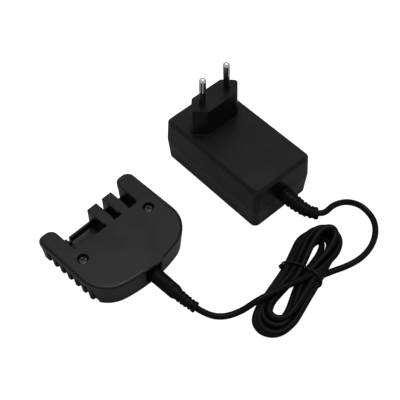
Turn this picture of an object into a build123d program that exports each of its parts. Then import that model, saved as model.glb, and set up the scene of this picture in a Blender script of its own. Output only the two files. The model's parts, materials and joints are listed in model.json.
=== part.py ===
from build123d import *
import os
from math import atan, atan2, cos, degrees, pi, radians, sin, sqrt, tan

# Power tool battery charger: a wall-plug adapter, a lead tied in a hank, and the dock that the battery
# slides into. Millimetres, +Z up. The origin lies on the floor under the middle of the adapter case. +X runs
# along the case towards its lead and +Y across it. Everything stands as it lies on a floor.

# ---- Driving dimensions ------------------------------------------------------------------------------------

# Adapter case, widest at the seam
case_length = 75.4
case_width = 42.8
case_seam_z = 14.4
case_height = 30.4
case_wall = 2.0
case_corner_radius = 3.6
case_inner_radius = 0.8
case_bottom_draft = 0.9
case_top_draft = 0.6
case_rim_height = 2.2
case_rim_inset = 1.5
seam_groove = 0.3
seam_lip_height = 1.5

# Plug block on top of the case, a flat hexagon with pointed ends
plug_x = -18.5
plug_span = 35.3
plug_thickness = 13.7
plug_rise = 18.7
plug_wall = 2.0
plug_edge_radius = 2.2
plug_draft = 0.35
plug_foot_flare = 0.3
plug_foot_height = 0.6

# Mains pins
pin_radius = 2.0
pin_length = 19.0
pin_spacing_base = 18.2
pin_spacing_tip = 17.2
pin_root_length = 13.0
pin_flange_radius = 2.8
pin_flange_thickness = 1.0
sleeve_length = 9.9
sleeve_radius = 1.8
sleeve_wall = 0.4
sleeve_flare = 0.25
sleeve_flare_height = 1.5
carrier_height = 7.0

# Adapter circuit board and what stands on it
board_gap = 2.2
board_thickness = 1.6
board_underside_z = 5.0
board_post_radius = 2.2
board_post_inset = 4.0
lead_wire_radius = 0.4
lead_wire_tail = 1.2
transistor_back = 2.2
sink_thickness = 1.6

# Ribbed boot at the adapter, from the case to the first point of the lead
boot_root_radius = 4.9
boot_tip_radius = 3.3
boot_collar_radius = 3.5
boot_neck_radius = 3.8
boot_flange_radius = 5.2
boot_flange_thickness = 1.6
boot_ring_count = 9

# Lead
cord_diameter = 3.5
wire_diameter = 1.4
hank_centre = (78.2, -29.15)
hank_turn = 105.7
hank_height = 8.2
hank_bundle_diameter = 6.6
tie_place = 4.6
tie_width = 1.3
tie_thickness = 1.0
tie_twist_length = 2.0

# Dock, in its own frame: x from the arms' tips to the socket, the cover screws on x = 0
dock_place = (-3.76, -85.34)
dock_turn = 3.0
dock_front = 27.4
dock_rear = 29.6
dock_width = 66.8
dock_height = 16.0
dock_wall = 4.9
dock_floor = 2.0
dock_corner_radius = 19.0
dock_rear_radius = 80.0
arm_tip_radius = 4.6
mouth_width = 44.6
mouth_corner_radius = 1.5
rim_z = 14.8
rim_ledge = 1.1
rim_ledge_rear = 0.3
cover_thickness = 2.2
cover_edge_radius = 1.3
side_draft = 1.3
front_wall_x = -22.7
front_wall_height = 5.2
front_wall_thickness = 1.3
deck_front_x = -7.5
closure_wall = 1.5
arm_lip_z = 11.0
arm_lip_depth = 1.3
arm_inner_wall = 1.6
grip_count = 6
grip_pitch = 5.85
grip_first_x = -16.05
grip_width = 3.3
grip_front_width = 5.3
grip_front_x = -22.9
grip_radius = 1.2
grip_recess = 1.4
grip_recess_foot = 4.0
grip_recess_end_x = 17.8
grip_inset = 0.8
grip_inset_foot = 1.85
grip_bottom_z = 0.6
grip_top_z = 13.8

# Pocket in front of the deck, left of the fingers
apron_reach = 7.0
apron_drop = 4.2
apron_thickness = 1.8
apron_left_y = -22.3
apron_left_lean = 3.2
apron_right_y = -12.2
apron_right_lean = 5.0
stop_post_x = -23.6
stop_post_length = 4.2
stop_post_y = -18.9
stop_post_thickness = 1.2
stop_post_return = 2.5
front_wall_left_y = -15.9

# Terminal block with its two fingers
finger_width = 6.6
finger_first_y = 2.35
finger_spacing = 10.65
finger_groove = 0.3
finger_edge_radius = 0.5
finger_notch_start_x = -8.9
finger_notch_end_x = -7.1
finger_notch_depth = 0.7
slit_width = 2.2
slit_bottom_z = 4.5
slit_top_z = 12.6
slit_end_x = -9.2
root_bar_end_x = -3.0
clip_sheet = 0.4
clip_height = 7.0
clip_front_gap = 1.5
clip_tail_height = 2.4
clip_tail_end_x = 1.5

# Cover screws
screw_spacing = 47.2
screw_head_radius = 2.5
screw_head_height = 1.9
screw_shank_radius = 1.45
screw_length = 11.0
screw_recess_radius = 3.3
screw_cup_wall = 1.3
screw_cup_floor = 1.5
screw_sink = 1.2
screw_boss_radius = 3.2
cross_width = 0.8
cross_span = 3.2
cross_depth = 1.0

# Socket in the dock and the barrel plug
jack_width = 9.0
jack_height = 9.0
jack_length = 13.2
jack_setback = 4.9
jack_bore_radius = 3.05
jack_bore_depth = 10.6
jack_pin_radius = 1.0
notch_radius = 5.6
notch_tab_half = 6.5
barrel_radius = 2.75
barrel_length = 9.5
barrel_wall = 0.35
barrel_hole_radius = 1.05
inner_contact_wall = 0.35
moulding_radius = 4.3
moulding_rear_radius = 4.0
moulding_length = 19.8
shoulder_length = 3.0
tail_root_radius = 3.4
tail_tip_radius = 2.9
tail_collar_radius = 3.1
tail_ring_count = 5
dimple_radius = 4.5
dimple_depth = 0.8
dimple_setback = 3.0

# Dock circuit board
dock_board_length = 10.5
dock_board_width = 25.0
dock_board_thickness = 1.2
dock_board_rise = 3.2
dock_post_radius = 1.8

# Clearances
running_gap = 0.05
assembly_gap = 0.1
shut_gap = 0.15
open_gap = 0.3

# ---- Values that follow from them --------------------------------------------------------------------------

cord_radius = cord_diameter / 2
case_end_x = case_length / 2
board_length = case_length - 2 * (case_wall + board_gap)
board_width = case_width - 2 * (case_wall + board_gap)
plug_top_z = case_height + plug_rise
pin_tilt = degrees(atan((pin_spacing_base - pin_spacing_tip) / 2 / pin_length))
sleeve_bore_radius = sleeve_radius - sleeve_wall
carrier_depth = plug_wall + carrier_height
board_top_z = board_underside_z + board_thickness
dock_frame = Pos(*dock_place, 0) * Rot(0, 0, dock_turn)
mouth_half = mouth_width / 2
cover_seat_z = dock_height - cover_thickness
finger_top_z = cover_seat_z - running_gap
jack_z = dock_floor + jack_height / 2
jack_face_x = dock_rear - jack_setback
jack_rear_x = jack_face_x - jack_length
plug_face_x = jack_face_x + open_gap
moulding_end_x = plug_face_x + moulding_length + shoulder_length
cup_floor_top_z = dock_height - screw_sink - screw_head_height
cup_bottom_z = cup_floor_top_z - screw_cup_floor
dock_board_z = dock_floor + dock_board_rise
dock_board_top_z = dock_board_z + dock_board_thickness
dock_board_start_x = root_bar_end_x + open_gap
finger_centres = [finger_first_y, finger_first_y + finger_spacing]

# Routes of the lead's two free ends, point by point. The first runs from the boot's tip over the floor into
# the hank, the second from the barrel plug's tail over the hank to the tie.
adapter_route = [
    (58.9, 5.5, 11.9),
    (60.2, 7.0, 11.8),
    (60.9, 9.8, 11.2),
    (59.8, 16.4, 9.9),
    (60.4, 23.5, 7.1),
    (62.9, 29.3, 4.5),
    (68.0, 32.8, 2.6),
    (75.6, 32.3, 1.8),
    (81.6, 29.0, 1.8),
    (86.4, 23.4, 1.8),
    (89.4, 17.0, 1.8),
    (90.8, 10.0, 1.8),
    (90.5, 3.0, 1.8),
    (88.7, -4.2, 1.8),
    (86.2, -10.6, 1.8),
    (84.6, -15.4, 1.8),
]
plug_route = [
    (55.0, -80.7, 4.8),
    (61.1, -78.5, 2.8),
    (67.4, -72.7, 1.8),
    (71.7, -63.9, 3.5),
    (74.1, -57.5, 8.1),
    (76.5, -50.1, 10.1),
    (79.1, -39.9, 10.1),
    (82.9, -26.9, 10.05),
]

# The hank in its own frame, point by point round its two lobes: its outline on the floor, the gaps inside the
# lower and the upper lobe, and the middle of the bundle that rises over the upper lobe.
hank_outline = [
    (39.7, 0.5),
    (34.5, 8.6),
    (24.0, 13.0),
    (9.2, 11.6),
    (-5.0, 11.2),
    (-18.0, 11.8),
    (-29.1, 10.2),
    (-36.4, 5.0),
    (-38.3, -1.5),
    (-33.0, -9.6),
    (-20.0, -13.4),
    (-5.0, -13.2),
    (9.0, -11.8),
    (21.0, -12.3),
    (31.0, -10.4),
    (37.5, -5.0),
]
lower_gap = [
    (-7.0, 1.2),
    (-12.0, 2.8),
    (-18.5, 3.4),
    (-23.5, 1.4),
    (-21.0, -1.0),
    (-13.0, -0.6),
]
upper_gap = [
    (9.5, 0.4),
    (15.0, 2.4),
    (22.0, 4.2),
    (29.5, 4.6),
    (34.8, 2.4),
    (34.8, -1.6),
    (30.0, -3.4),
    (22.0, -2.4),
    (15.0, -0.9),
]
upper_bundle = [
    (6.0, 6.4, 4.6),
    (18.0, 7.6, 8.6),
    (29.0, 7.8, 10.9),
    (35.6, 4.0, 10.9),
    (35.6, -3.8, 10.9),
    (30.0, -7.6, 10.9),
    (18.0, -7.2, 8.6),
    (6.0, -6.2, 4.6),
]


def box_between(low, high):
    """Box given by its lowest and highest corners."""
    size = [b - a for a, b in zip(low, high)]
    return Pos(*low) * Box(*size, align=Align.MIN)


def upright(radius, z_low, z_high, x=0.0, y=0.0):
    """Vertical cylinder between two heights."""
    return Pos(x, y, z_low) * Cylinder(radius, z_high - z_low, align=(Align.CENTER, Align.CENTER, Align.MIN))


def lengthwise(radius, x_low, x_high, y=0.0, z=0.0):
    """Cylinder along X between two places."""
    bar = Cylinder(radius, x_high - x_low, align=(Align.CENTER, Align.CENTER, Align.MIN))
    return Pos(x_low, y, z) * Rot(0, 90, 0) * bar


# ---- Adapter case ------------------------------------------------------------------------------------------


def case_inset(z):
    """How far the case's side stands in from its widest line at a height."""
    shoulder_z = case_height - case_rim_height
    if z <= case_seam_z:
        return case_bottom_draft * (case_seam_z - z) / case_seam_z
    if z <= shoulder_z:
        return case_top_draft * (z - case_seam_z) / (shoulder_z - case_seam_z)
    return case_top_draft + case_rim_inset * (z - shoulder_z) / case_rim_height


def case_block(z_low, z_high, inset):
    """Solid of the case's outline between two heights, moved in on every side."""
    levels = [z_low, z_high]
    levels += [z for z in (case_seam_z, case_height - case_rim_height) if z_low < z < z_high]
    sections = []
    for z in sorted(levels):
        side = case_inset(z) + inset
        outline = RectangleRounded(
            case_length - 2 * side, case_width - 2 * side, max(case_corner_radius - inset, case_inner_radius)
        )
        sections.append(Pos(0, 0, z) * outline)
    return loft(sections, ruled=True)


def plug_outline(z, inset):
    """Hexagonal outline of the plug block at a height; its ends come to a point at 45 degrees."""
    half_thickness = plug_thickness / 2 - inset
    half_span = plug_span / 2 - inset * sqrt(2)
    shoulder = half_span - half_thickness
    corners = [
        (half_thickness, -shoulder),
        (half_thickness, shoulder),
        (0, half_span),
        (-half_thickness, shoulder),
        (-half_thickness, -shoulder),
        (0, -half_span),
    ]
    outline = make_face(Polyline(*corners, close=True))
    rounded = fillet(outline.vertices(), max(plug_edge_radius - max(inset, 0) / 2, plug_edge_radius / 4))
    return Pos(plug_x, 0, z) * rounded


def plug_block(z_low, z_high, inset):
    """Drafted plug block between two heights, moved in on every side."""
    slope = plug_draft / plug_rise
    low = plug_outline(z_low, inset - slope * (plug_top_z - z_low))
    high = plug_outline(z_high, inset - slope * (plug_top_z - z_high))
    return loft([low, high], ruled=True)


def boot_passage():
    """Hole for the boot's neck in the lead end of the case, half in each shell."""
    wall_span = 2 * (case_wall + case_bottom_draft)
    radius = boot_neck_radius + running_gap
    return lengthwise(radius, case_end_x - wall_span, case_end_x + wall_span, z=case_seam_z)


def adapter_bottom_shell():
    shell = case_block(0, case_seam_z, 0) - case_block(case_wall, case_seam_z, case_wall)
    groove_z = case_seam_z - seam_groove
    shell -= case_block(groove_z, case_seam_z, 0) - case_block(groove_z, case_seam_z, seam_groove)
    lip_top_z = case_seam_z + seam_lip_height
    lip_inset = case_wall / 2 + assembly_gap
    shell += case_block(case_seam_z, lip_top_z, lip_inset) - case_block(case_seam_z, lip_top_z, case_wall)
    for x, y in board_post_spots():
        shell += upright(board_post_radius, case_wall / 2, board_underside_z, x, y)
    return shell - boot_passage()


def adapter_top_shell():
    shell = case_block(case_seam_z, case_height, 0)
    foot_low = plug_outline(case_height, -plug_draft - plug_foot_flare)
    foot_high = plug_outline(case_height + plug_foot_height, -plug_draft)
    shell += loft([foot_low, foot_high], ruled=True)
    shell += plug_block(case_height - case_wall, plug_top_z, 0)
    shell -= case_block(case_seam_z, case_height - case_wall, case_wall)
    rebate_z = case_seam_z + seam_lip_height + assembly_gap
    shell -= case_block(case_seam_z, rebate_z, case_wall / 2)
    shell -= plug_block(case_height - 2 * case_wall, plug_top_z - plug_wall, plug_wall)
    for side in (-1, 1):
        shell -= pin_frame(side) * upright(sleeve_radius + running_gap, -2 * plug_wall, plug_wall)
    return shell - boot_passage()


# ---- Mains pins --------------------------------------------------------------------------------------------


def pin_frame(side):
    """Place of a pin where it leaves the plug block; the pins lean towards each other."""
    return Pos(plug_x, side * pin_spacing_base / 2, plug_top_z) * Rot(side * pin_tilt, 0, 0)


def mains_pin():
    """Pin about its own axis: bare round end, core inside the sleeve, root and flange in the block."""
    pin = upright(sleeve_bore_radius, -pin_root_length, sleeve_length)
    pin += upright(pin_radius, sleeve_length, pin_length - pin_radius)
    pin += Pos(0, 0, pin_length - pin_radius) * Sphere(pin_radius)
    flange_top = -carrier_depth - assembly_gap
    return pin + upright(pin_flange_radius, flange_top - pin_flange_thickness, flange_top)


def pin_sleeve():
    """Insulating sleeve about the pin's axis, flared at its foot."""
    profile = Polyline(
        (sleeve_bore_radius, -plug_wall - case_wall / 2),
        (sleeve_radius, -plug_wall - case_wall / 2),
        (sleeve_radius, assembly_gap),
        (sleeve_radius + sleeve_flare, assembly_gap),
        (sleeve_radius, sleeve_flare_height),
        (sleeve_radius, sleeve_length),
        (sleeve_bore_radius, sleeve_length),
        close=True,
    )
    return revolve(make_face(Plane.XZ * profile), Axis.Z)


def pin_carrier():
    """Insulating block under the plug block's end wall that both pins are pressed into."""
    top_z = plug_top_z - plug_wall
    outline = plug_outline(top_z, plug_wall + assembly_gap)
    block = extrude(outline, -carrier_height)
    for side in (-1, 1):
        block -= pin_frame(side) * upright(sleeve_bore_radius + running_gap, -2 * carrier_depth, 0)
        block -= pin_frame(side) * upright(
            sleeve_radius + running_gap, -plug_wall - case_wall / 2 - running_gap, 0
        )
    return block


# ---- Adapter circuit board ---------------------------------------------------------------------------------


def board_post_spots():
    """Where the four posts stand under the board."""
    half_x = board_length / 2 - board_post_inset
    half_y = board_width / 2 - board_post_inset
    return [(sx * half_x, sy * half_y) for sx in (-1, 1) for sy in (-1, 1)]


def with_leads(body, spots):
    """Component body with its lead wires down through the board."""
    for x, y in spots:
        body += upright(lead_wire_radius, -board_thickness - lead_wire_tail, lead_wire_tail, x, y)
    return body


def row(count, pitch, y=0.0):
    """Lead spots in a line along X."""
    return [((i - (count - 1) / 2) * pitch, y) for i in range(count)]


def two_rows(count, pitch, half_span):
    """Lead spots in a line along X on either side."""
    return row(count, pitch, -half_span) + row(count, pitch, half_span)


def block_component(length, width, height, spots):
    """Moulded box with rounded upright corners, standing on the board."""
    corner = min(length, width) / 8
    body = extrude(RectangleRounded(length, width, corner), height)
    return with_leads(body, spots), spots


def can_component(radius, height, pitch):
    """Upright electrolytic can with the rolled groove near its foot and a scored top."""
    spots = row(2, pitch)
    body = upright(radius, 0, height)
    groove_z = height / 10
    groove = upright(radius, groove_z, 1.6 * groove_z) - upright(radius * 0.93, groove_z, 1.6 * groove_z)
    score = Box(radius, radius / 12, radius / 6) + Box(radius / 12, radius, radius / 6)
    body -= groove
    body -= Pos(0, 0, height) * score
    return with_leads(body, spots), spots


def choke_component():
    """Two windings on a ring core, standing in a moulded foot."""
    foot_height = 1.5
    ring_radius = 5.6
    spots = two_rows(2, 7.0, 3.0)
    body = extrude(RectangleRounded(11.6, 9.4, 1.0), foot_height)
    ring = Rot(90, 0, 0) * (Cylinder(ring_radius, 4.0) - Cylinder(ring_radius / 3, 4.0))
    winding = Rot(90, 0, 0) * (Cylinder(ring_radius + 0.7, 7.0) - Cylinder(ring_radius / 3 - 0.4, 7.0))
    gap = Box(2.2, 8.0, 3 * ring_radius)
    body += Pos(0, 0, foot_height + ring_radius) * (ring + (winding - gap))
    return with_leads(body, spots), spots


def transistor_component():
    """Flat-backed power package: moulded body, metal tab with a hole, three leads."""
    spots = row(3, 2.54)
    tab_front = transistor_back - 1.3
    body = box_between((-5.0, -2.0, 4.0), (5.0, transistor_back, 13.2))
    body += box_between((-5.0, tab_front, 4.0), (5.0, transistor_back, 19.0))
    body -= Pos(0, transistor_back, 16.2) * Rot(90, 0, 0) * Cylinder(1.8, 3.0)
    for x, y in spots:
        body += upright(lead_wire_radius, -board_thickness - lead_wire_tail, 5.0, x, y)
    return body, spots


def disc_component():
    """Upright disc capacitor."""
    spots = [(0.0, -2.5), (0.0, 2.5)]
    body = Pos(0, 0, 5.0) * Rot(0, 90, 0) * Cylinder(4.0, 3.4)
    body = fillet(body.edges(), 1.0)
    for x, y in spots:
        body += upright(lead_wire_radius, -board_thickness - lead_wire_tail, 3.0, x, y)
    return body, spots


def heat_sink_component():
    """Upright aluminium plate with a bent foot and two solder tabs."""
    spots = row(2, 13.0)
    half = sink_thickness / 2
    body = box_between((-9.0, -half, 0.0), (9.0, half, 18.5))
    body += box_between((-9.0, -half, 18.5 - sink_thickness), (9.0, 2.0, 18.5))
    return with_leads(body, spots), spots


# Transformer: an E core around the middle leg of a bobbin
core_length = 20.0
core_height = 16.0
core_depth = 6.0
core_leg = 3.0
core_rise = 1.6
bobbin_flange = 0.9
bobbin_depth = 17.6
core_pin_pitch = 3.8


def transformer_core():
    """Square frame with a middle leg."""
    window_x = (core_length - 2 * core_leg - 2 * core_leg) / 2
    window_z = core_height - 2 * core_leg
    core = Pos(0, 0, core_rise + core_height / 2) * Box(core_length, core_depth, core_height)
    for side in (-1, 1):
        window = Box(window_x, 2 * core_depth, window_z)
        core -= Pos(side * (core_leg + window_x / 2), 0, core_rise + core_height / 2) * window
    return core


def transformer_bobbin():
    """Two flanges on a square tube round the middle leg, with a pin foot under the lower flange."""
    gap = assembly_gap
    low = core_rise + core_leg + gap
    high = core_rise + core_height - core_leg - gap
    half_x = core_length / 2 - core_leg - gap
    half_y = bobbin_depth / 2
    tube_x = core_leg + gap + bobbin_flange
    tube_y = core_depth / 2 + gap + bobbin_flange
    bobbin = box_between((-half_x, -half_y, low), (half_x, half_y, low + bobbin_flange))
    bobbin += box_between((-half_x, -half_y, high - bobbin_flange), (half_x, half_y, high))
    bobbin += box_between((-tube_x, -tube_y, low), (tube_x, tube_y, high))
    bobbin -= box_between(
        (-core_leg - gap, -core_depth / 2 - gap, 0), (core_leg + gap, core_depth / 2 + gap, high + gap)
    )
    spots = []
    for side in (-1, 1):
        foot_low = side * (half_y - 1.2) - 1.2
        bobbin += box_between((-half_x, foot_low, 0), (half_x, foot_low + 2.4, low + gap))
        spots += row(4, core_pin_pitch, side * (half_y - 1.2))
    for x, y in spots:
        bobbin += upright(lead_wire_radius, -board_thickness - lead_wire_tail, lead_wire_tail, x, y)
    return bobbin, spots


def transformer_winding():
    """Wound ring between the bobbin's flanges."""
    gap = assembly_gap
    low = core_rise + core_leg + gap + bobbin_flange + running_gap
    high = core_rise + core_height - core_leg - gap - bobbin_flange - running_gap
    tube_x = core_leg + gap + bobbin_flange + running_gap
    tube_y = core_depth / 2 + gap + bobbin_flange + running_gap
    half_x = core_length / 2 - core_leg - 3 * gap
    half_y = bobbin_depth / 2 - 2 * gap
    winding = box_between((-half_x, -half_y, low), (half_x, half_y, high))
    winding = fillet(winding.edges().filter_by(Axis.Z), 1.0)
    return winding - box_between((-tube_x, -tube_y, 0), (tube_x, tube_y, 2 * high))


def board_components():
    """Everything that stands on the adapter's board: name, place, solid and lead spots.

    The places in the list are shares of the board's length and width."""
    bobbin, bobbin_spots = transformer_bobbin()
    transformer_place = (0.151, -0.094)
    sink_place = (0.015, 0.441)
    transistor_place = (sink_place[0], sink_place[1] - (transistor_back + sink_thickness / 2) / board_width)
    components = [
        ("fuse", (-0.356, 0.394), *block_component(8.4, 3.6, 7.8, row(2, 5.08))),
        ("interference_choke", (-0.194, 0.253), *choke_component()),
        ("x_capacitor", (-0.324, -0.359), *block_component(13.0, 5.6, 11.4, row(2, 10.0))),
        ("bridge_rectifier", (-0.364, -0.071), *block_component(8.4, 6.4, 3.2, two_rows(2, 5.0, 3.2))),
        ("bulk_capacitor", (-0.124, -0.3), *can_component(6.2, 19.6, 5.0)),
        ("controller_chip", (-0.094, 0.003), *block_component(9.4, 6.2, 3.2, two_rows(4, 2.54, 3.1))),
        ("heat_sink", sink_place, *heat_sink_component()),
        ("switching_transistor", transistor_place, *transistor_component()),
        ("transformer_bobbin", transformer_place, bobbin, bobbin_spots),
        ("transformer_core", transformer_place, transformer_core(), []),
        ("transformer_winding", transformer_place, transformer_winding(), []),
        ("optocoupler", (0.224, 0.341), *block_component(4.6, 6.2, 3.2, two_rows(2, 2.54, 3.1))),
        ("y_capacitor", (0.315, 0.335), *disc_component()),
        ("output_rectifier", (0.342, -0.394), *transistor_component()),
        ("output_capacitor_1", (0.385, -0.147), *can_component(3.9, 12.0, 3.5)),
        ("output_capacitor_2", (0.385, 0.118), *can_component(3.9, 12.0, 3.5)),
    ]
    return [
        (name, (share_x * board_length, share_y * board_width), solid, spots)
        for name, (share_x, share_y), solid, spots in components
    ]


def adapter_board(components):
    """Board with a hole for every lead wire."""
    middle_z = board_underside_z + board_thickness / 2
    board = Pos(0, 0, middle_z) * Box(board_length, board_width, board_thickness)
    for name, (x, y), solid, spots in components:
        for spot_x, spot_y in spots:
            board -= upright(lead_wire_radius + running_gap, 0, 2 * board_top_z, x + spot_x, y + spot_y)
    return board


# ---- Ribbed tails, cords and wires -------------------------------------------------------------------------


def ribbed_tail(path, root_radius, tip_radius, collar_radius, ring_count):
    """Flexible tail round a cord: tapered core, rings joined by staggered bridges, and an end collar."""
    core_share = 0.82
    ring_share = 0.66
    bridge_reach = 0.95
    bridge_width = 0.9
    rounding = 0.3
    pitch = path.length / ring_count
    root = path.location_at(0) * Circle(root_radius * core_share)
    tip = path.location_at(1) * Circle(tip_radius * core_share)
    tail = sweep([root, tip], path, multisection=True)
    ring_thickness = pitch * ring_share
    for i in range(ring_count):
        share = (i + 0.5) / ring_count
        radius = root_radius + (tip_radius - root_radius) * share
        tail += path.location_at(share) * rounded_disc(radius, ring_thickness, rounding * ring_thickness)
        if i > 0:
            bridge = Box(2 * radius * bridge_reach, bridge_width, pitch - ring_thickness / 2)
            tail += path.location_at(i / ring_count) * Rot(0, 0, 45 + 90 * (i % 2)) * bridge
    collar = Pos(0, 0, -pitch / 2) * rounded_disc(collar_radius, pitch, rounding * pitch)
    return tail + path.location_at(1) * collar


def rounded_disc(radius, thickness, rounding):
    """Short cylinder about Z with rounded edges."""
    disc = Cylinder(radius, thickness)
    return fillet(disc.edges().filter_by(GeomType.CIRCLE), rounding)


def cord_radii(points):
    """Largest even arc at each corner: 0.45 of the shorter run over the tangent of half the turn."""
    radii = []
    for before, corner, after in zip(points, points[1:], points[2:]):
        run_in = Vector(*corner) - Vector(*before)
        run_out = Vector(*after) - Vector(*corner)
        half_turn = radians(run_in.get_angle(run_out)) / 2
        radii.append(0.45 * min(run_in.length, run_out.length) / tan(half_turn))
    return radii


def round_cord(points, diameter):
    """Tube along a route of straight runs joined by tangent arcs."""
    path = FilletPolyline(*points, radius=cord_radii(points))
    return sweep(path.location_at(0) * Circle(diameter / 2), path), path


def boot_flange_end_x():
    """Outer face of the boot's flange, just inside the drafted end wall."""
    return case_end_x - case_wall - case_inset(case_seam_z - boot_flange_radius) - assembly_gap


def strain_relief_boot():
    """Boot held by its flange between the shells, bending with the lead to the first point of its route."""
    root = Vector(case_end_x + assembly_gap, 0, case_seam_z)
    tip = Vector(*adapter_route[0])
    path = Spline(root, tip, tangents=[Vector(1, 0, 0), Vector(*adapter_route[1]) - tip])
    boot = ribbed_tail(path, boot_root_radius, boot_tip_radius, boot_collar_radius, boot_ring_count)
    flange_x = boot_flange_end_x() - boot_flange_thickness
    boot += lengthwise(boot_neck_radius, flange_x, case_end_x + 2 * assembly_gap, z=case_seam_z)
    return boot + lengthwise(boot_flange_radius, flange_x, boot_flange_end_x(), z=case_seam_z)


def mains_wire(side):
    """Wire from a pin's root down to the board."""
    start = (pin_frame(side) * Pos(0, 0, -pin_root_length)).position
    below = (pin_frame(side) * Pos(0, 0, -pin_root_length - 6.0)).position
    foot_x = 2.2 - board_length / 2
    foot_y = side * 6.4
    points = [
        (start.X, start.Y, start.Z),
        (below.X, below.Y, below.Z),
        (below.X - 6.0, below.Y - side * 0.8, below.Z - 7.0),
        (foot_x, foot_y, board_top_z + 10.0),
        (foot_x, foot_y, board_top_z),
    ]
    return round_cord(points, wire_diameter)[0]


def output_wire(index):
    """Wire from the boot's inner end down to the board, one above the other."""
    start_x = boot_flange_end_x() - boot_flange_thickness
    start_z = case_seam_z + (1.0, -0.9)[index]
    foot_x = board_length / 2 - 2.0
    foot_y = (9.2, 5.8)[index]
    points = [
        (start_x, 0, start_z),
        (start_x - 1.5, 0, start_z),
        (start_x - 2.4, 1.5, start_z),
        (foot_x - 0.6, foot_y - 2.2, start_z - 0.8),
        (foot_x, foot_y, start_z - 3.2),
        (foot_x, foot_y, board_top_z),
    ]
    return round_cord(points, wire_diameter)[0]


# ---- Hank and tie ------------------------------------------------------------------------------------------


def hank_frame():
    """Frame of the hank: x along its long axis, from the lower lobe to the upper one."""
    return Pos(*hank_centre, 0) * Rot(0, 0, hank_turn)


def hank_body():
    """Closed outer shape of the tied turns in the hank's own frame, without the groove for the tie."""
    plan = make_face(Spline(*hank_outline, periodic=True))
    plan -= make_face(Spline(*lower_gap, periodic=True))
    plan -= make_face(Spline(*upper_gap, periodic=True))
    body = extrude(plan, hank_height)
    body = fillet(body.faces().sort_by(Axis.Z)[-1].edges(), cord_radius)
    body = fillet(body.faces().sort_by(Axis.Z)[0].edges(), cord_radius)
    return body + round_cord(upper_bundle, hank_bundle_diameter)[0]


def hank_waist():
    """Lowest and highest y of the hank where the tie sits."""
    slice_low = (tie_place - tie_width, -2 * hank_height, 0)
    slice_high = (tie_place + tie_width, 2 * hank_height, hank_height)
    box = (hank_body() & box_between(slice_low, slice_high)).bounding_box()
    return box.min.Y, box.max.Y


def lead_hank():
    """The tied turns with a groove under the tie."""
    low_y, high_y = hank_waist()
    groove_z = tie_thickness + assembly_gap
    groove = box_between((tie_place - tie_width, low_y - 1, 0), (tie_place + tie_width, high_y + 1, groove_z))
    return hank_frame() * (hank_body() - groove)


def tie_outline(extra):
    """Outline of the band's inside across the hank, grown by extra."""
    low_y, high_y = hank_waist()
    grown = assembly_gap + extra
    low_z = tie_thickness + assembly_gap - extra
    top_z = hank_height + grown
    middle = ((low_y + high_y) / 2, (low_z + top_z) / 2)
    outline = Pos(*middle) * Rectangle(high_y - low_y + 2 * grown, top_z - low_z)
    outline = fillet(outline.vertices().group_by(Axis.Y)[-1], cord_radius + extra)
    return fillet(outline.vertices().group_by(Axis.Y)[0], grown)


def twist_tie():
    """Band round the hank's waist, its twisted ends lying at one side."""
    band = tie_outline(tie_thickness - assembly_gap) - tie_outline(0)
    ring = Pos(tie_place, 0, 0) * extrude(Plane.YZ * band, tie_width / 2, both=True)
    twist_place = Pos(tie_place, hank_waist()[0] - tie_thickness / 2, hank_height / 2) * Rot(90, 0, 0)
    twist = Cylinder(tie_width / 2, tie_twist_length, align=(Align.CENTER, Align.CENTER, Align.MIN))
    return hank_frame() * (ring + twist_place * twist)


# ---- Dock shells -------------------------------------------------------------------------------------------


def dock_plan(inset, mouth_x, mouth_inset=0.0, rear_shift=0.0):
    """Plan of the dock moved in on its outer sides: arms at the front, a flat curve at the rear.

    The mouth between the arms reaches back to mouth_x; the rear is moved in by rear_shift less."""
    half = dock_width / 2 - inset
    tip_x = -dock_front + inset
    corner = dock_corner_radius - inset
    rear_arc = dock_rear_radius - inset + rear_shift
    rear_x = dock_rear - inset + rear_shift
    rear_centre_x = rear_x - rear_arc
    corner_y = half - corner
    corner_x = rear_centre_x + sqrt((rear_arc - corner) ** 2 - corner_y**2)
    touch_angle = atan2(corner_y, corner_x - rear_centre_x)
    middle_angle = (touch_angle + pi / 2) / 2
    touch = (rear_centre_x + rear_arc * cos(touch_angle), rear_arc * sin(touch_angle))
    middle = (corner_x + corner * cos(middle_angle), corner_y + corner * sin(middle_angle))
    mouth_y = mouth_half + mouth_inset
    tip_radius = min(arm_tip_radius, 0.48 * (half - mouth_y))
    corners = [
        (corner_x, half),
        (tip_x, half),
        (tip_x, mouth_y),
        (mouth_x, mouth_y),
        (mouth_x, -mouth_y),
        (tip_x, -mouth_y),
        (tip_x, -half),
        (corner_x, -half),
    ]
    radii = [tip_radius, tip_radius, mouth_corner_radius, mouth_corner_radius, tip_radius, tip_radius]
    outline = [
        FilletPolyline(*corners, radius=radii),
        ThreePointArc((corner_x, -half), (middle[0], -middle[1]), (touch[0], -touch[1])),
        ThreePointArc((touch[0], -touch[1]), (rear_x, 0), touch),
        ThreePointArc(touch, middle, (corner_x, half)),
    ]
    return make_face(outline)


def slab(plan, z_low, z_high):
    """A plan raised between two heights."""
    return Pos(0, 0, z_low) * extrude(plan, z_high - z_low)


def grip_hollow(side, front_x, end_x, top_depth, foot_depth):
    """Recess in a long side below its rim, deeper towards the floor."""
    half = side * dock_width / 2
    top_y = half - side * top_depth
    low_y = half - side * foot_depth
    outer_y = half + side
    profile = Polyline((top_y, grip_top_z), (outer_y, grip_top_z), (outer_y, 0), (low_y, 0), close=True)
    return Pos(front_x, 0, 0) * extrude(Plane.YZ * make_face(profile), end_x - front_x)


def grip_hollows(side):
    """Shallow recess round the arm's tip, and the deeper one that the grip ridges stand in."""
    tip_depths = (grip_inset + assembly_gap, grip_inset_foot + assembly_gap)
    tip = grip_hollow(side, -dock_front - 1, grip_front_x, *tip_depths)
    return tip + grip_hollow(side, grip_front_x, grip_recess_end_x, grip_recess, grip_recess_foot)


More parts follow.
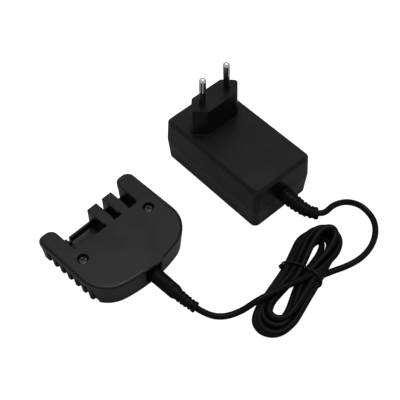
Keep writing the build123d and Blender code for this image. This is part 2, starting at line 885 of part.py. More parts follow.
def grip_ridges(side):
    """Upright rounded ridges of one side, leaning in at the foot, the front one wider than the rest."""
    half = dock_width / 2
    depth = 2 * grip_recess
    top_y = side * (half - grip_inset - depth / 2)
    foot_y = side * (half - grip_inset_foot - depth / 2)
    spots = [(grip_front_x, grip_front_width)]
    spots += [(grip_first_x + i * grip_pitch, grip_width) for i in range(grip_count)]
    ridges = []
    for x, width in spots:
        outline = RectangleRounded(width, depth, grip_radius)
        foot = Pos(x, foot_y, grip_bottom_z) * outline
        top = Pos(x, top_y, grip_top_z) * outline
        ridges.append(loft([foot, top], ruled=True))
    return ridges


def socket_notch():
    """U-shaped recess for the barrel plug in the rear wall, with room for the cover's tab and the socket."""
    outer_x = dock_rear + 1
    notch = lengthwise(notch_radius, jack_face_x, outer_x, z=jack_z)
    notch += box_between((jack_face_x, -notch_radius, jack_z), (outer_x, notch_radius, dock_height))
    tab_half = notch_tab_half + assembly_gap
    notch += box_between((jack_face_x, -tab_half, cover_seat_z), (outer_x, tab_half, dock_height))
    bay_half = jack_width / 2 + assembly_gap
    return notch + box_between((jack_rear_x, -bay_half, dock_floor), (jack_face_x, bay_half, dock_height))


def dock_base():
    """Tray of the dock: floor, outer wall with its rim, arms, front wall, pocket and screw bosses."""
    foot = dock_plan(side_draft, deck_front_x)
    base = loft([foot, Pos(0, 0, grip_top_z) * dock_plan(0, deck_front_x)], ruled=True)
    base += slab(dock_plan(0, deck_front_x), grip_top_z, rim_z)
    for side in (-1, 1):
        base -= grip_hollows(side)
        for ridge in grip_ridges(side):
            base += ridge
    cavity_front_x = deck_front_x + closure_wall
    cavity_side = arm_lip_depth + arm_inner_wall
    base -= slab(dock_plan(dock_wall, cavity_front_x, cavity_side), dock_floor, dock_height)
    rear_shift = rim_ledge - rim_ledge_rear
    seat_plan = dock_plan(rim_ledge - assembly_gap, deck_front_x, rear_shift=rear_shift)
    base -= slab(seat_plan, cover_seat_z, dock_height)
    for side in (-1, 1):
        base -= box_between(
            (-dock_front - 1, min(side * mouth_half, side * (mouth_half + arm_lip_depth)), -1),
            (deck_front_x, max(side * mouth_half, side * (mouth_half + arm_lip_depth)), arm_lip_z),
        )
    pocket_half = mouth_half + arm_lip_depth
    base += box_between((front_wall_x, -pocket_half, 0), (deck_front_x, pocket_half, dock_floor))
    front_wall_high = (front_wall_x + front_wall_thickness, pocket_half, front_wall_height)
    base += box_between((front_wall_x, front_wall_left_y, 0), front_wall_high)
    base += stop_post()
    base -= box_between(
        (deck_front_x - mouth_corner_radius, -mouth_half, cover_seat_z - mouth_corner_radius),
        (deck_front_x, mouth_corner_radius - mouth_half, dock_height),
    )
    base -= terminal_window()
    base += socket_cradle() + dock_board_posts()
    pilot_low_z = cup_floor_top_z - screw_length - open_gap
    for y in (-screw_spacing / 2, screw_spacing / 2):
        base += upright(screw_boss_radius, dock_floor / 2, cup_bottom_z, 0, y)
        base -= upright(screw_shank_radius + running_gap, pilot_low_z, cup_bottom_z, 0, y)
    return base - socket_notch()


def stop_post():
    """Small L-shaped post at the left end of the front wall."""
    corner = (stop_post_x + stop_post_length, stop_post_y)
    post = box_between(
        (max(stop_post_x, front_wall_x), stop_post_y, dock_floor / 2),
        (corner[0], stop_post_y + stop_post_thickness, front_wall_height),
    )
    return post + box_between(
        (corner[0] - stop_post_thickness, stop_post_y, dock_floor / 2),
        (corner[0], stop_post_y + stop_post_return, front_wall_height),
    )


def terminal_span():
    """Lowest and highest y of the terminal block."""
    return finger_centres[0] - finger_width / 2, finger_centres[-1] + finger_width / 2


def terminal_window():
    """Opening in the wall behind the pocket for the terminal block's root."""
    low_y, high_y = terminal_span()
    return box_between(
        (deck_front_x - shut_gap, low_y - shut_gap, dock_floor),
        (deck_front_x + 2 * closure_wall, high_y + shut_gap, dock_height),
    )


def socket_cradle():
    """Ribs on the floor that hold the socket at its sides and behind."""
    rib = 1.4
    side_y = jack_width / 2 + assembly_gap
    rear_x = jack_rear_x - assembly_gap
    rib_top_z = jack_z - jack_bore_radius - 3 * clip_sheet
    cradle = box_between((rear_x - rib, -side_y, dock_floor / 2), (rear_x, side_y, rib_top_z))
    middle_x = jack_rear_x + jack_length / 2
    for side in (-1, 1):
        side_rib = Box(jack_length / 2, rib, jack_z - dock_floor / 2)
        cradle += Pos(middle_x, side * (side_y + rib / 2), (dock_floor / 2 + jack_z) / 2) * side_rib
    return cradle


def dock_board_spots():
    """Where the two posts stand under the dock's board."""
    x = dock_board_start_x + dock_board_length / 2
    y = dock_board_width / 2 - 2 * dock_post_radius
    low_y, high_y = terminal_span()
    middle_y = (low_y + high_y) / 2
    return [(x, middle_y - y), (x, middle_y + y)]


def dock_board_posts():
    posts = [upright(dock_post_radius, dock_floor / 2, dock_board_z, x, y) for x, y in dock_board_spots()]
    return posts[0] + posts[1]


def dock_cover():
    """Deck with a rounded edge, screw cups under it, the tab over the socket and the apron in the pocket."""
    rear_shift = rim_ledge - rim_ledge_rear
    deck = slab(dock_plan(rim_ledge, deck_front_x, rear_shift=rear_shift), cover_seat_z, dock_height)
    top = deck.faces().sort_by(Axis.Z)[-1]
    outer = [e for e in top.edges() if abs(e.center().Y) > mouth_half + running_gap or e.center().X > 0]
    deck = fillet(outer, cover_edge_radius)
    tab = box_between((jack_face_x, -notch_tab_half, cover_seat_z), (dock_rear, notch_tab_half, dock_height))
    deck += tab & slab(dock_plan(0, deck_front_x), cover_seat_z, dock_height)
    deck += apron()
    for y in finger_centres:
        deck += finger_top(y)
        notches = finger_notches(y, cover_seat_z - 1, dock_height + 1)
        deck -= notches[0] + notches[1]
    for side in (-1, 1):
        y = side * screw_spacing / 2
        cup_radius = screw_recess_radius + screw_cup_wall
        deck += upright(cup_radius, cup_bottom_z, dock_height - cover_edge_radius, 0, y)
        deck -= upright(screw_recess_radius, cup_floor_top_z, dock_height + 1, 0, y)
        deck -= upright(screw_shank_radius + open_gap, 0, dock_height, 0, y)
    return deck


def finger_top(y):
    """Top skin of a finger, one piece with the deck, its three free edges rounded."""
    low = (front_wall_x, y - finger_width / 2, cover_seat_z)
    skin = box_between(low, (deck_front_x + closure_wall, y + finger_width / 2, dock_height))
    top_edges = skin.faces().sort_by(Axis.Z)[-1].edges()
    return fillet(top_edges.sort_by(Axis.X)[:-1], finger_edge_radius)


def finger_notches(y, z_low, z_high):
    """Relief notches at both sides of a finger's root."""
    half = finger_width / 2
    notches = []
    for side in (-1, 1):
        inner_y = y + side * (half - finger_notch_depth)
        outer_y = y + side * (half + finger_notch_depth)
        low = (finger_notch_start_x, min(inner_y, outer_y), z_low)
        notches.append(box_between(low, (finger_notch_end_x, max(inner_y, outer_y), z_high)))
    return notches


def apron():
    """Curved skirt that leads from the deck down into the pocket."""
    radius = (apron_reach**2 + apron_drop**2) / (2 * apron_drop)
    tip_x = deck_front_x - apron_reach
    tip_z = dock_height - apron_drop
    half_angle = atan2(apron_reach, radius - apron_drop) / 2
    middle = (deck_front_x - radius * sin(half_angle), dock_height - radius * (1 - cos(half_angle)))
    inner_x = deck_front_x + closure_wall
    outline = [
        ThreePointArc((deck_front_x, dock_height), middle, (tip_x, tip_z)),
        Line((tip_x, tip_z), (tip_x, tip_z - apron_thickness)),
        Line((tip_x, tip_z - apron_thickness), (deck_front_x, cover_seat_z)),
        Line((deck_front_x, cover_seat_z), (inner_x, cover_seat_z)),
        Line((inner_x, cover_seat_z), (inner_x, dock_height)),
        Line((inner_x, dock_height), (deck_front_x, dock_height)),
    ]
    skirt = extrude(Plane.XZ * make_face(outline), 2 * mouth_half, both=True)
    corners = [
        (inner_x, apron_left_y),
        (deck_front_x, apron_left_y),
        (tip_x, apron_left_y + apron_left_lean),
        (tip_x, apron_right_y + apron_right_lean),
        (deck_front_x, apron_right_y),
        (inner_x, apron_right_y),
    ]
    return skirt & slab(make_face(Polyline(*corners, close=True)), 0, dock_height)


# ---- Terminal block and contacts ---------------------------------------------------------------------------


def terminal_block():
    """Insulating block: two fingers in the mouth, and the root bar behind the deck's edge that joins them."""
    low_y, high_y = terminal_span()
    behind_wall_x = front_wall_x + front_wall_thickness + assembly_gap
    finger_end_x = deck_front_x - shut_gap
    block = box_between(
        (finger_end_x, low_y, dock_floor), (root_bar_end_x, high_y, finger_top_z)
    )
    for y in finger_centres:
        side_low = y - finger_width / 2
        side_high = y + finger_width / 2
        finger = box_between((behind_wall_x, side_low, dock_floor), (finger_end_x, side_high, finger_top_z))
        over_wall = (front_wall_x, side_low, front_wall_height + assembly_gap)
        finger += box_between(over_wall, (finger_end_x, side_high, finger_top_z))
        finger -= finger_rebate(y)
        notches = finger_notches(y, 0, dock_height)
        finger -= notches[0] + notches[1]
        block += finger
        slit_half = slit_width / 2
        slit_low = (front_wall_x - 1, y - slit_half, slit_bottom_z)
        block -= box_between(slit_low, (slit_end_x, y + slit_half, slit_top_z))
        tail_half = clip_sheet / 2 + running_gap
        tail_top_z = dock_board_top_z + clip_tail_height + running_gap
        tail_low = (slit_end_x - 1, y - tail_half, dock_board_top_z)
        block -= box_between(tail_low, (root_bar_end_x + 1, y + tail_half, tail_top_z))
    return block


def finger_rebate(y):
    """Rebate round a finger's upper edge that shows as the parting line under the cover's skin."""
    low = (front_wall_x - 1, y - finger_width, finger_top_z - finger_groove)
    high = (deck_front_x - shut_gap, y + finger_width, dock_height)
    kept = box_between(
        (front_wall_x + finger_groove, y - finger_width / 2 + finger_groove, 0),
        (deck_front_x, y + finger_width / 2 - finger_groove, dock_height),
    )
    return box_between(low, high) - kept


def contact_clip(y):
    """Folded spring clip: two leaves that close towards the front, a web, and a tail on to the board."""
    half = slit_width / 2 - running_gap
    front_x = front_wall_x + clip_front_gap
    web_x = slit_end_x - running_gap
    pinch = 0.35
    bottom_z = (slit_bottom_z + slit_top_z) / 2 - clip_height / 2
    leaves = []
    for side in (-1, 1):
        corners = [
            (web_x, side * half),
            (front_x + 4.0, side * (half - pinch)),
            (front_x, side * half),
            (front_x, side * (half - clip_sheet)),
            (front_x + 4.0, side * (half - pinch - clip_sheet)),
            (web_x, side * (half - clip_sheet)),
        ]
        leaves.append(make_face(Polyline(*corners, close=True)))
    web = Pos(web_x - clip_sheet / 2, 0) * Rectangle(clip_sheet, 2 * half)
    clip = slab(leaves[0] + leaves[1] + web, bottom_z, bottom_z + clip_height)
    tail = box_between(
        (web_x - clip_sheet, -clip_sheet / 2, dock_board_top_z),
        (clip_tail_end_x, clip_sheet / 2, dock_board_top_z + clip_tail_height),
    )
    return Pos(0, y, 0) * (clip + tail)


def cover_screw(side):
    """Pan-head screw with a cross recess."""
    y = side * screw_spacing / 2
    top_z = cup_floor_top_z + screw_head_height
    head = upright(screw_head_radius, cup_floor_top_z, top_z, 0, y)
    head = fillet(head.faces().sort_by(Axis.Z)[-1].edges(), screw_head_height / 3)
    screw = head + upright(screw_shank_radius, cup_floor_top_z - screw_length, cup_floor_top_z, 0, y)
    cross = Box(cross_span, cross_width, 2 * cross_depth) + Box(cross_width, cross_span, 2 * cross_depth)
    return screw - Pos(0, y, top_z) * Rot(0, 0, 25) * cross


# ---- Socket and barrel plug --------------------------------------------------------------------------------


def jack_housing():
    """Socket body with its round mouth towards the rear, a slot for the spring and a hole for the pin."""
    half = jack_width / 2
    housing = box_between((jack_rear_x, -half, dock_floor), (jack_face_x, half, dock_floor + jack_height))
    housing = chamfer(housing.faces().sort_by(Axis.X)[-1].edges(), 0.3)
    housing -= lengthwise(jack_bore_radius, jack_face_x - jack_bore_depth, jack_face_x + 1, z=jack_z)
    housing -= lengthwise(jack_pin_radius + running_gap, jack_rear_x - 1, jack_face_x, z=jack_z)
    slot_half = 1.3
    slot_top_z = jack_z - jack_bore_radius + clip_sheet
    slot_low_z = slot_top_z - 2 * clip_sheet - open_gap
    slot_low = (jack_rear_x - 1, -slot_half, slot_low_z)
    return housing - box_between(slot_low, (jack_face_x - 2.0, slot_half, slot_top_z))


def jack_tail_x():
    """Rear end of the socket's solder tails."""
    return jack_rear_x - 1.2


def jack_centre_pin():
    """Round contact in the middle of the socket, with a flattened tail behind it."""
    tip_x = jack_face_x - 1.2
    pin = lengthwise(jack_pin_radius, jack_rear_x - running_gap, tip_x - jack_pin_radius, z=jack_z)
    pin += Pos(tip_x - jack_pin_radius, 0, jack_z) * Sphere(jack_pin_radius)
    tail_half = 0.8
    tail_low = (jack_tail_x(), -tail_half, jack_z - clip_sheet)
    return pin + box_between(tail_low, (jack_rear_x, tail_half, jack_z + clip_sheet))


def jack_spring():
    """Leaf contact along the bottom of the socket's bore."""
    top_z = jack_z - jack_bore_radius + running_gap
    return box_between((jack_tail_x(), -1.2, top_z - clip_sheet), (jack_face_x - 2.3, 1.2, top_z))


def plug_tube(outer, inner, front_x, rear_x):
    """Tube of the barrel plug about its axis."""
    return lengthwise(outer, front_x, rear_x, z=jack_z) - lengthwise(inner, front_x - 1, rear_x + 1, z=jack_z)


def plug_root_depth():
    """How far the barrel's pieces reach into the moulding."""
    return moulding_length / 3


def barrel_sleeve():
    front_x = plug_face_x - barrel_length
    return plug_tube(barrel_radius, barrel_radius - barrel_wall, front_x, plug_face_x + plug_root_depth())


def barrel_insulator():
    front_x = plug_face_x - barrel_length
    inner = barrel_hole_radius + inner_contact_wall + running_gap
    outer = barrel_radius - barrel_wall - running_gap
    return plug_tube(outer, inner, front_x, plug_face_x + plug_root_depth())


def barrel_inner_contact():
    front_x = plug_face_x - barrel_length + clip_sheet
    outer = barrel_hole_radius + inner_contact_wall
    return plug_tube(outer, barrel_hole_radius, front_x, plug_face_x + plug_root_depth())


def plug_moulding():
    """Grip of the barrel plug with two thumb dimples, and the short ribbed tail round the lead."""
    rear_x = plug_face_x + moulding_length
    profile = Polyline(
        (plug_face_x, 0),
        (plug_face_x, moulding_radius - open_gap),
        (plug_face_x + open_gap, moulding_radius),
        (rear_x, moulding_rear_radius),
        (moulding_end_x, tail_root_radius * 0.9),
        (moulding_end_x, 0),
        close=True,
    )
    grip = Pos(0, 0, jack_z) * revolve(make_face(Plane.XZ * profile), Axis.X)
    for side in (-1, 1):
        dimple_z = jack_z + side * (moulding_rear_radius - dimple_depth + dimple_radius)
        grip -= Pos(rear_x - dimple_setback, 0, dimple_z) * Sphere(dimple_radius)
    socket_end_x = plug_face_x + plug_root_depth() + running_gap
    grip -= lengthwise(barrel_radius + running_gap, 0, socket_end_x, z=jack_z)
    grip = dock_frame * grip
    root = (dock_frame * Pos(moulding_end_x, 0, jack_z)).position
    forward = Vector(cos(radians(dock_turn)), sin(radians(dock_turn)), 0)
    path = Edge.make_tangent_arc(root, forward, Vector(*plug_route[0]))
    return grip + ribbed_tail(path, tail_root_radius, tail_tip_radius, tail_collar_radius, tail_ring_count)


# ---- Dock board and wires ----------------------------------------------------------------------------------


def dock_board():
    """Small board that the contact clips and the socket's wires are soldered to."""
    low_y, high_y = terminal_span()
    middle = (dock_board_start_x + dock_board_length / 2, (low_y + high_y) / 2)
    outline = Pos(*middle) * Rectangle(dock_board_length, dock_board_width)
    return slab(outline, dock_board_z, dock_board_top_z)


def dock_resistor():
    """Flat surface-mounted resistor with a metal cap at each end."""
    length = 6.4
    width = 3.2
    cap = 1.0
    height = 1.1
    corner_x = dock_board_start_x + dock_board_length - 2 * width
    corner_y = sum(terminal_span()) / 2 - length / 2
    low = (corner_x, corner_y, dock_board_top_z)
    top_z = dock_board_top_z + height
    body = box_between(low, (corner_x + width, corner_y + length, top_z - assembly_gap))
    for y in (corner_y, corner_y + length - cap):
        body += box_between((corner_x, y, dock_board_top_z), (corner_x + width, y + cap, top_z))
    return body


def dock_wire(index):
    """Wire from the socket's tails to the board: the upper one to one side, the lower one to the other."""
    start_x = jack_tail_x()
    end_x = dock_board_start_x + dock_board_length - 1.6
    low_z = jack_z - jack_bore_radius - clip_sheet / 2
    routes = [
        [(0, 0, jack_z), (1.2, 0, jack_z), (2.4, 2.2, jack_z + 2.4), (3.4, 10.0, jack_z + 3.4)],
        [(0, 0, low_z), (1.0, 0, low_z), (1.6, -2.0, low_z + 2.6), (3.0, -3.2, jack_z + 2.4)],
    ]
    end_y = (13.2, -3.4)[index]
    points = [(start_x - back, y, z) for back, y, z in routes[index]]
    points += [(end_x, end_y, dock_board_top_z + 2.4), (end_x, end_y, dock_board_top_z)]
    return round_cord(points, wire_diameter)[0]


# ---- Assembly ----------------------------------------------------------------------------------------------


def adapter_pieces():
    components = board_components()
    pieces = {
        "adapter_bottom_shell": adapter_bottom_shell(),
        "adapter_top_shell": adapter_top_shell(),
        "pin_carrier": pin_carrier(),
        "adapter_board": adapter_board(components),
        "strain_relief_boot": strain_relief_boot(),
    }
    for side, name in ((-1, "left"), (1, "right")):
        pieces[f"mains_pin_{name}"] = pin_frame(side) * mains_pin()
        pieces[f"pin_sleeve_{name}"] = pin_frame(side) * pin_sleeve()
        pieces[f"mains_wire_{name}"] = mains_wire(side)
    for index in (0, 1):
        pieces[f"output_wire_{index + 1}"] = output_wire(index)
    for name, (x, y), solid, spots in components:
        pieces[name] = Pos(x, y, board_top_z) * solid
    return pieces


def lead_pieces():
    pieces = {"lead_hank": lead_hank(), "twist_tie": twist_tie(), "plug_moulding": plug_moulding()}
    for name, route in (("lead_adapter_side", adapter_route), ("lead_plug_side", plug_route)):
        tube, path = round_cord(route, cord_diameter)
        pieces[name] = tube
        expected = pi * cord_radius**2 * path.length
        volumes = round(tube.volume, 1), "of", round(expected, 1)
        print(name, "length", round(path.length, 1), "volume", *volumes)
        print(name, "radii", [round(radius, 1) for radius in cord_radii(route)])
    plug = {
        "barrel_sleeve": barrel_sleeve(),
        "barrel_insulator": barrel_insulator(),
        "barrel_inner_contact": barrel_inner_contact(),
    }
    for name, solid in plug.items():
        pieces[name] = dock_frame * solid
    return pieces


def dock_pieces():
    screws = Compound(children=[cover_screw(side) for side in (-1, 1)])
    local = {
        "dock_base": dock_base(),
        "dock_cover": dock_cover(),
        "terminal_block": terminal_block(),
        "cover_screws": screws,
        "jack_housing": jack_housing(),
        "jack_centre_pin": jack_centre_pin(),
        "jack_spring": jack_spring(),
        "dock_board": dock_board(),
        "dock_resistor": dock_resistor(),
    }
    for index in (0, 1):
        local[f"contact_clip_{index + 1}"] = contact_clip(finger_centres[index])
        local[f"dock_wire_{index + 1}"] = dock_wire(index)
    return {name: dock_frame * solid for name, solid in local.items()}


def main():
    os.makedirs("parts", exist_ok=True)
    pieces = {**adapter_pieces(), **lead_pieces(), **dock_pieces()}
    for name, solid in pieces.items():
        export_step(solid, f"parts/{name}.step")


main()
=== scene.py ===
import json
from math import cos, pi, radians, sin

import bpy
from mathutils import Matrix, Vector


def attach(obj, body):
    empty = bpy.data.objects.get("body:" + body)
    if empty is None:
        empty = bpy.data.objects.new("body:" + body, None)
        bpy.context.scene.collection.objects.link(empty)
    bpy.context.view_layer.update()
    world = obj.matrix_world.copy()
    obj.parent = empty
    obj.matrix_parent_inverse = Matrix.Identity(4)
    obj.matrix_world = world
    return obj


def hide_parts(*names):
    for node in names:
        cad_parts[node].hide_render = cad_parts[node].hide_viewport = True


# Power tool battery charger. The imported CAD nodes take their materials, and the lead and its twist tie are
# laid as curves in place of their CAD solids. The curves' places are in millimetres in the row frame, which
# is the frame of the CAD; all else is in metres.

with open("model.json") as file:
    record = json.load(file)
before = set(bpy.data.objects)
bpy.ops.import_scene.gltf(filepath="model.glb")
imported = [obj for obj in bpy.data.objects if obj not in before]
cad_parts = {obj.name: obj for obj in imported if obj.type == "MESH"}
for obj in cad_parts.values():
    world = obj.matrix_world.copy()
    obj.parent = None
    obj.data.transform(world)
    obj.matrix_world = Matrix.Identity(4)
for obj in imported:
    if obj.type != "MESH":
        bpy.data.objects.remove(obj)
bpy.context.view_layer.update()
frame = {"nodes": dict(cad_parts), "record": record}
scene = bpy.context.scene
MM = 0.001

# ---- Camera ------------------------------------------------------------------------------------------------

# Fitted to the photograph
CAMERA_PLACE = (0.23894, -0.23816, 0.41943)
CAMERA_AZIMUTH = radians(48.735)
CAMERA_ELEVATION = radians(53.026)
CAMERA_ROLL = radians(-1.218)
CAMERA_LENS = 82.85
CAMERA_SENSOR = 36
CAMERA_CLIP = (0.01, 20)


def make_camera():
    forward = Vector(
        (
            -sin(CAMERA_AZIMUTH) * cos(CAMERA_ELEVATION),
            cos(CAMERA_AZIMUTH) * cos(CAMERA_ELEVATION),
            -sin(CAMERA_ELEVATION),
        )
    )
    turn = forward.to_track_quat("-Z", "Y").to_matrix() @ Matrix.Rotation(CAMERA_ROLL, 3, "Z")
    data = bpy.data.cameras.new("camera")
    data.lens = CAMERA_LENS
    data.sensor_width = CAMERA_SENSOR
    data.clip_start, data.clip_end = CAMERA_CLIP
    camera = bpy.data.objects.new("camera", data)
    camera.matrix_world = Matrix.Translation(CAMERA_PLACE) @ turn.to_4x4()
    scene.collection.objects.link(camera)
    scene.camera = camera


make_camera()

# ---- Nodes -------------------------------------------------------------------------------------------------


def feed(tree, socket, value):
    """Give an input a value, or link it if the value is another node's output."""
    if isinstance(value, bpy.types.NodeSocket):
        tree.links.new(value, socket)
    else:
        socket.default_value = value


def add_node(tree, kind, inputs):
    node = tree.nodes.new(kind)
    for name, value in inputs.items():
        feed(tree, node.inputs[name], value)
    return node


def maths(tree, operation, *values):
    node = tree.nodes.new("ShaderNodeMath")
    node.operation = operation
    for socket, value in zip(node.inputs, values):
        feed(tree, socket, value)
    return node.outputs[0]


def noise(tree, scale, detail, roughness=0.5):
    """Noise laid out in the object's own coordinates."""
    place = tree.nodes.new("ShaderNodeTexCoord").outputs["Object"]
    inputs = {"Scale": scale, "Detail": detail, "Roughness": roughness, "Vector": place}
    return add_node(tree, "ShaderNodeTexNoise", inputs).outputs["Fac"]


# ---- Materials ---------------------------------------------------------------------------------------------

# Range of a noise's value that is spread over a whole range of roughness
NOISE_LOW = 0.3
NOISE_HIGH = 0.7

PLASTIC_GRAIN_DETAIL = 2.0
PLASTIC_PATCH_SCALE = 60.0
PLASTIC_PATCH_DETAIL = 4.0
PLASTIC_SHEEN_SPREAD = 0.06
PLASTIC_BUMP = 0.5

METAL_MARK_SIZE = 0.5
METAL_MARK_DEPTH = 0.003
METAL_MARK_DETAIL = 5.0
METAL_MARK_ROUGHNESS = 0.6
METAL_SMOOTHEST = 0.7
METAL_ROUGHEST = 1.4
METAL_BUMP = 0.4


def new_material(name):
    material = bpy.data.materials.new(name)
    material.use_nodes = True
    return material, material.node_tree, material.node_tree.nodes["Principled BSDF"]


def vary_roughness(tree, shader, pattern, low, high):
    inputs = {"From Min": NOISE_LOW, "From Max": NOISE_HIGH, "To Min": low, "To Max": high, "Value": pattern}
    feed(tree, shader.inputs["Roughness"], add_node(tree, "ShaderNodeMapRange", inputs).outputs["Result"])


def add_bump(tree, shader, height, strength, depth):
    inputs = {"Strength": strength, "Distance": depth * MM, "Height": height}
    feed(tree, shader.inputs["Normal"], add_node(tree, "ShaderNodeBump", inputs).outputs["Normal"])


def plastic(name, colour, roughness, grain_size=0.35, grain_depth=0.02, gloss=0.5):
    """Moulded plastic: a fine even grain, and a sheen that varies a little over the surface."""
    material, tree, shader = new_material(name)
    shader.inputs["Base Color"].default_value = (*colour, 1)
    shader.inputs["Specular IOR Level"].default_value = gloss
    grain = noise(tree, 1 / (grain_size * MM), PLASTIC_GRAIN_DETAIL)
    patches = noise(tree, PLASTIC_PATCH_SCALE, PLASTIC_PATCH_DETAIL)
    smoothest = roughness - PLASTIC_SHEEN_SPREAD
    vary_roughness(tree, shader, patches, smoothest, roughness + PLASTIC_SHEEN_SPREAD)
    add_bump(tree, shader, grain, PLASTIC_BUMP, grain_depth)
    return material


def metal(name, colour, roughness):
    """Drawn or stamped metal, with marks that show in its sheen and its surface."""
    material, tree, shader = new_material(name)
    shader.inputs["Base Color"].default_value = (*colour, 1)
    shader.inputs["Metallic"].default_value = 1.0
    marks = noise(tree, 1 / (METAL_MARK_SIZE * MM), METAL_MARK_DETAIL, METAL_MARK_ROUGHNESS)
    vary_roughness(tree, shader, marks, roughness * METAL_SMOOTHEST, roughness * METAL_ROUGHEST)
    add_bump(tree, shader, marks, METAL_BUMP, METAL_MARK_DEPTH)
    return material


BLACK = (0.0035, 0.0035, 0.0037)

# Colour and roughness of each slot, and its grain's size and depth and its gloss where they aren't the usual
PLASTICS = {
    "case_plastic": {"colour": BLACK, "roughness": 0.36, "gloss": 0.22},
    "dock_plastic": {"colour": (0.009, 0.009, 0.0093), "roughness": 0.34, "gloss": 0.25},
    "terminal_plastic": {
        "colour": BLACK,
        "roughness": 0.26,
        "grain_size": 0.5,
        "grain_depth": 0.008,
        "gloss": 0.3,
    },
    "soft_plastic": {
        "colour": BLACK,
        "roughness": 0.42,
        "grain_size": 0.6,
        "grain_depth": 0.01,
        "gloss": 0.07,
    },
    "cord_jacket": {
        "colour": BLACK,
        "roughness": 0.4,
        "grain_size": 0.8,
        "grain_depth": 0.01,
        "gloss": 0.07,
    },
    "tie_plastic": {"colour": BLACK, "roughness": 0.4, "grain_size": 0.4, "gloss": 0.15},
    "sleeve_plastic": {"colour": BLACK, "roughness": 0.35},
    "board_laminate": {"colour": (0.02, 0.09, 0.03), "roughness": 0.35},
    "component_plastic": {"colour": (0.02, 0.02, 0.02), "roughness": 0.5},
    "box_plastic": {"colour": (0.6, 0.42, 0.05), "roughness": 0.4},
    "can_sleeve": {"colour": (0.02, 0.03, 0.08), "roughness": 0.25},
    "disc_epoxy": {"colour": (0.03, 0.1, 0.35), "roughness": 0.3},
    "fuse_plastic": {"colour": (0.16, 0.12, 0.08), "roughness": 0.5},
    "ferrite": {"colour": (0.03, 0.03, 0.032), "roughness": 0.6},
    "winding_tape": {"colour": (0.62, 0.45, 0.05), "roughness": 0.3},
    "bobbin_plastic": {"colour": (0.02, 0.02, 0.02), "roughness": 0.45},
    "wire_red": {"colour": (0.4, 0.01, 0.01), "roughness": 0.35},
    "wire_black": {"colour": (0.01, 0.01, 0.01), "roughness": 0.35},
    "wire_blue": {"colour": (0.01, 0.05, 0.3), "roughness": 0.35},
    "wire_brown": {"colour": (0.12, 0.04, 0.015), "roughness": 0.35},
}
METALS = {
    "pin_metal": {"colour": (0.78, 0.77, 0.75), "roughness": 0.12},
    "contact_metal": {"colour": (0.75, 0.7, 0.58), "roughness": 0.25},
    "screw_steel": {"colour": (0.06, 0.06, 0.065), "roughness": 0.3},
    "copper": {"colour": (0.6, 0.22, 0.1), "roughness": 0.3},
    "heat_sink_metal": {"colour": (0.7, 0.7, 0.7), "roughness": 0.35},
}
materials = {name: plastic(name, **look) for name, look in PLASTICS.items()}
materials.update({name: metal(name, **look) for name, look in METALS.items()})


def dress_cad_nodes():
    """Every CAD node takes the material of its slot."""
    for part in frame["record"]["subparts"]:
        node = frame["nodes"][part["node"]]
        node.data.materials.clear()
        node.data.materials.append(materials[part["material_slot"]])


dress_cad_nodes()

# ---- Curves ------------------------------------------------------------------------------------------------

CURVE_ORDER = 3
CURVE_STEPS = 12
BEVEL_STEPS = 6


def make_curve(name, points, radius):
    """Round wire along a smooth line led by the points."""
    data = bpy.data.curves.new(name, "CURVE")
    data.dimensions = "3D"
    data.bevel_depth = radius * MM
    data.bevel_resolution = BEVEL_STEPS
    data.resolution_u = CURVE_STEPS
    data.use_fill_caps = True
    spline = data.splines.new("NURBS")
    spline.points.add(len(points) - 1)
    for point, place in zip(spline.points, points):
        point.co = (*[c * MM for c in place], 1)
    spline.order_u = CURVE_ORDER
    spline.use_endpoint_u = True
    curve = bpy.data.objects.new(name, data)
    scene.collection.objects.link(curve)
    return curve


def line_length(curve):
    """Length in metres of a curve's own line."""
    bare = curve.data.copy()
    bare.bevel_depth = 0
    carrier = bpy.data.objects.new("line", bare)
    scene.collection.objects.link(carrier)
    bpy.context.view_layer.update()
    mesh = bpy.data.meshes.new_from_object(carrier.evaluated_get(bpy.context.evaluated_depsgraph_get()))
    ends = [[mesh.vertices[i].co for i in edge.vertices] for edge in mesh.edges]
    bpy.data.objects.remove(carrier)
    return sum((a - b).length for a, b in ends)


# ---- Hank --------------------------------------------------------------------------------------------------

# The hank has a frame of its own: x along it towards the boot's end, y across it to its left, z up
HANK_CENTRE = (78.2, -29.15)
HANK_TURN = radians(105.7)

# One entry per turn in the order of the lead, which isn't their order from the floor up. A turn goes from its
# slot in the right of the waist round its lower lobe to its slot in the left, and round its upper lobe to the
# next turn's slot in the right. A slot is (y, z). A lobe is its reach along the hank, its half width on the
# right and on the left, the height of its end, and how far it leans to the left.
RIGHT_WAIST = [(-4.4, 3.1), (-0.7, 3.1), (-9.0, 2.9), (-10.2, 5.8), (-8.0, 8.2), (-2.6, 6.4)]
LEFT_WAIST = [(5.9, 3.1), (2.6, 3.1), (9.3, 3.1), (7.7, 6.1), (0.8, 6.8), (4.3, 6.4)]
LOWER_LOBES = [
    (31.8, 7.4, 7.4, 1.8, -0.4),
    (27.4, 4.6, 6.4, 1.9, -0.5),
    (36.9, 11.2, 9.2, 1.8, 0.9),
    (36.6, 10.0, 9.4, 4.9, -1.2),
    (28.4, 6.8, 6.6, 6.6, -0.9),
    (31.8, 8.4, 9.4, 4.6, -0.5),
]
UPPER_LOBES = [
    (29.2, 3.7, 3.1, 2.4, 1.8),
    (32.2, 4.0, 9.0, 2.6, -0.2),
    (36.4, 8.0, 12.8, 1.8, 0.2),
    (37.0, 9.8, 10.4, 5.0, 0.0),
    (35.2, 5.6, 5.9, 11.0, -1.7),
    (36.3, 11.0, 8.6, 7.6, -0.4),
]
# Slot where the lead leaves the last turn for the plug
LEAVING_SLOT = (-6.9, 7.8)
RIGHT_WAIST_X = 2.0
LEFT_WAIST_X = 0.0

